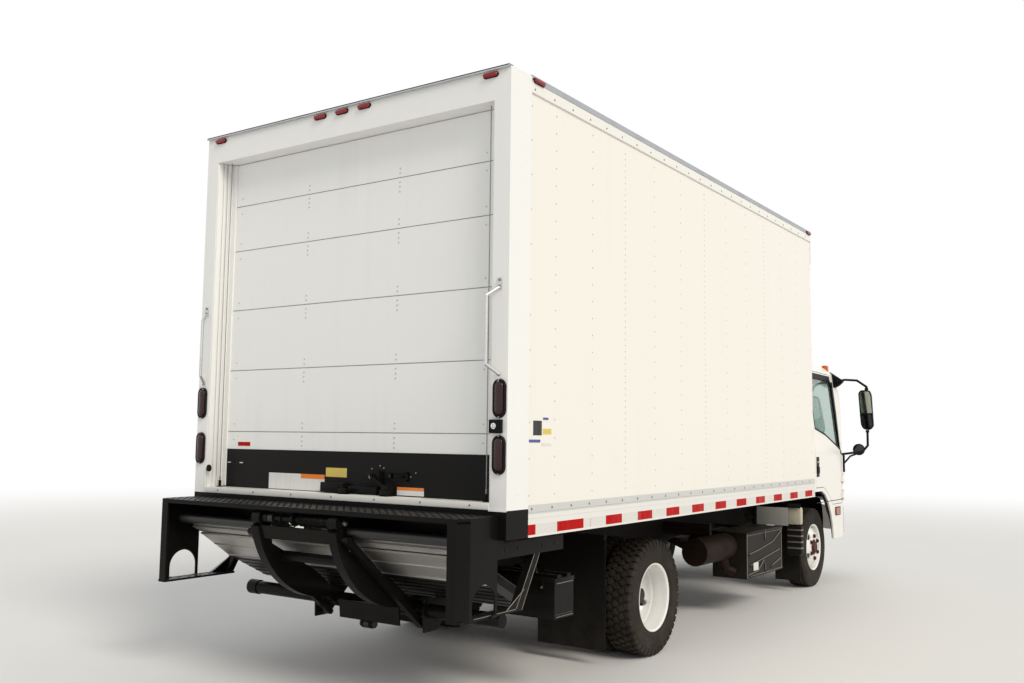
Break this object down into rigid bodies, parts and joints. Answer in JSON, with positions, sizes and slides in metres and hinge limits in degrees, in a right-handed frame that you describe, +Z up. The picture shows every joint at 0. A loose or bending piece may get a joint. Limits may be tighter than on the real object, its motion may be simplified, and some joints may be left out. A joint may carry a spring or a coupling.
{
  "type": "box truck with liftgate",
  "caption": "Cab-over box truck with a dry freight body, roll-up rear door and a tuck-under liftgate; wheels roll, front wheels steer, cab tilts, doors open, lift lowers.",
  "frame": {"origin": "on the ground under the middle of the overall length and width", "axes": "+X forward, +Y to the truck's left, +Z up"},
  "size_m": [7.34, 2.618, 3.4069],
  "materials": {
    "body_white": "gloss paint over panels, rivets in rows",
    "cab_white": "gloss paint",
    "chassis_black": "satin black paint with road dust",
    "gate_black": "satin black paint, worn at edges",
    "platform_aluminium": "extruded planks, dull",
    "rail_aluminium": "mill finish rail",
    "iron": "dusty casting",
    "spring_steel": "black painted steel",
    "bright_steel": "polished rod",
    "stainless": "brushed bar",
    "heat_steel": "heat browned steel",
    "tyre": "black rubber, dusty tread",
    "wheel_white": "gloss paint on steel",
    "mud_rubber": "flat black",
    "floor_wood": "laminated hardwood on steel bearers",
    "door_white": "door panels, black kick plate",
    "lamp_red": "red lens",
    "cab_glass": "tinted glass",
    "grille_black": "moulded",
    "lamp_clear": "clear lens",
    "mirror_black": "moulded",
    "seat_cloth": "woven grey cloth",
    "dash_plastic": "grained"
  },
  "bodies": {
    "chassis": {"chassis_frame": "chassis_black", "engine": "iron", "front_axle": "chassis_black", "leaf_springs": "spring_steel", "rear_axle": "chassis_black", "fuel_tank": "chassis_black", "exhaust": "heat_steel", "battery_box": "mirror_black", "mud_flaps": "mud_rubber", "front_bumper": "cab_white", "load_floor": "floor_wood", "side_walls": "body_white", "front_wall": "body_white", "body_roof": "body_white", "rear_frame": "body_white", "bottom_rails": "body_white", "top_rails": "rail_aluminium", "rollup_door": "door_white", "door_hardware": "gate_black", "body_lamps": "lamp_red", "grab_handles": "stainless", "deck_extension": "gate_black", "liftgate_frame": "gate_black", "pump_box": "gate_black"},
    "lift_arms": {"lift_arms": "gate_black"},
    "parallel_links": {"parallel_links": "gate_black"},
    "carrier": {"platform_carrier": "gate_black"},
    "platform": {"platform": "platform_aluminium", "flipover": "platform_aluminium"},
    "lift_cylinder": {"lift_cylinder": "gate_black"},
    "cylinder_rod": {"cylinder_rod": "bright_steel"},
    "cab": {"cab_shell": "cab_white", "cab_glass": "cab_glass", "front_grille": "grille_black", "cab_lamps": "lamp_clear", "mirrors": "mirror_black", "seats": "seat_cloth", "dashboard": "dash_plastic"},
    "door_left": {"door_left": "cab_white", "door_glass_left": "cab_glass"},
    "door_right": {"door_right": "cab_white", "door_glass_right": "cab_glass"},
    "knuckle_left": {"knuckle_left": "chassis_black"},
    "knuckle_right": {"knuckle_right": "chassis_black"},
    "wheel_front_left": {"tyre_front_left": "tyre", "rim_front_left": "wheel_white"},
    "wheel_front_right": {"tyre_front_right": "tyre", "rim_front_right": "wheel_white"},
    "wheels_rear_left": {"tyres_rear_left": "tyre", "rims_rear_left": "wheel_white"},
    "wheels_rear_right": {"tyres_rear_right": "tyre", "rims_rear_right": "wheel_white"}
  },
  "joints": [
    {"name": "cab_tilt", "type": "hinge", "parent": "chassis", "child": "cab", "pos_m": [3.56, 0, 0.77], "axis": [0, 1, 0], "range_deg": [0, 45]},
    {"name": "door_left_hinge", "type": "hinge", "parent": "cab", "child": "door_left", "pos_m": [3.142, 1.045, 1.052], "axis": [0, 0, -1], "range_deg": [0, 70]},
    {"name": "door_right_hinge", "type": "hinge", "parent": "cab", "child": "door_right", "pos_m": [3.142, -1.045, 1.052], "axis": [0, 0, 1], "range_deg": [0, 70]},
    {"name": "steer_left", "type": "hinge", "parent": "chassis", "child": "knuckle_left", "pos_m": [2.459, 0.7225, 0.386], "axis": [0, 0, 1], "range_deg": [-35, 35]},
    {"name": "steer_right", "type": "hinge", "parent": "chassis", "child": "knuckle_right", "pos_m": [2.459, -0.7225, 0.386], "axis": [0, 0, 1], "range_deg": [-35, 35]},
    {"name": "roll_front_left", "type": "hinge", "parent": "knuckle_left", "child": "wheel_front_left", "pos_m": [2.459, 0.8325, 0.386], "axis": [0, 1, 0], "continuous": true},
    {"name": "roll_front_right", "type": "hinge", "parent": "knuckle_right", "child": "wheel_front_right", "pos_m": [2.459, -0.8325, 0.386], "axis": [0, 1, 0], "continuous": true},
    {"name": "roll_rear_left", "type": "hinge", "parent": "chassis", "child": "wheels_rear_left", "pos_m": [-1.351, 0.82, 0.386], "axis": [0, 1, 0], "continuous": true},
    {"name": "roll_rear_right", "type": "hinge", "parent": "chassis", "child": "wheels_rear_right", "pos_m": [-1.351, -0.82, 0.386], "axis": [0, 1, 0], "continuous": true},
    {"name": "lift", "type": "hinge", "parent": "chassis", "child": "lift_arms", "pos_m": [-2.99, 0, 0.455], "axis": [0, -1, 0], "range_deg": [0, 64]},
    {"name": "link_swing", "type": "hinge", "parent": "chassis", "child": "parallel_links", "pos_m": [-2.99, 0, 0.37], "axis": [0, -1, 0], "range_deg": [0, 64]},
    {"name": "carrier_level", "type": "hinge", "parent": "lift_arms", "child": "carrier", "pos_m": [-3.62, 0, 0.985], "axis": [0, -1, 0], "range_deg": [-64, 0]},
    {"name": "platform_swing", "type": "hinge", "parent": "lift_arms", "child": "platform", "pos_m": [-3.62, 0, 0.985], "axis": [0, -1, 0], "range_deg": [0, 13]},
    {"name": "cylinder_swing", "type": "hinge", "parent": "chassis", "child": "lift_cylinder", "pos_m": [-2.42, 0, 0.45], "axis": [0, -1, 0], "range_deg": [-0.525, 0]},
    {"name": "rod_slide", "type": "slide", "parent": "lift_cylinder", "child": "cylinder_rod", "axis": [-0.9848, 0, -0.1737], "range_m": [-0.1273, 0]}
  ],
  "couplings": [
    {"joint": "steer_right", "follows": "steer_left", "ratio": 1},
    {"joint": "link_swing", "follows": "lift", "ratio": 1},
    {"joint": "carrier_level", "follows": "lift", "ratio": -1},
    {"joint": "platform_swing", "follows": "lift", "ratio": 0.203},
    {"joint": "cylinder_swing", "follows": "lift", "ratio": -0.00805},
    {"joint": "rod_slide", "follows": "lift", "m_per_rad": -0.11377}
  ]
}
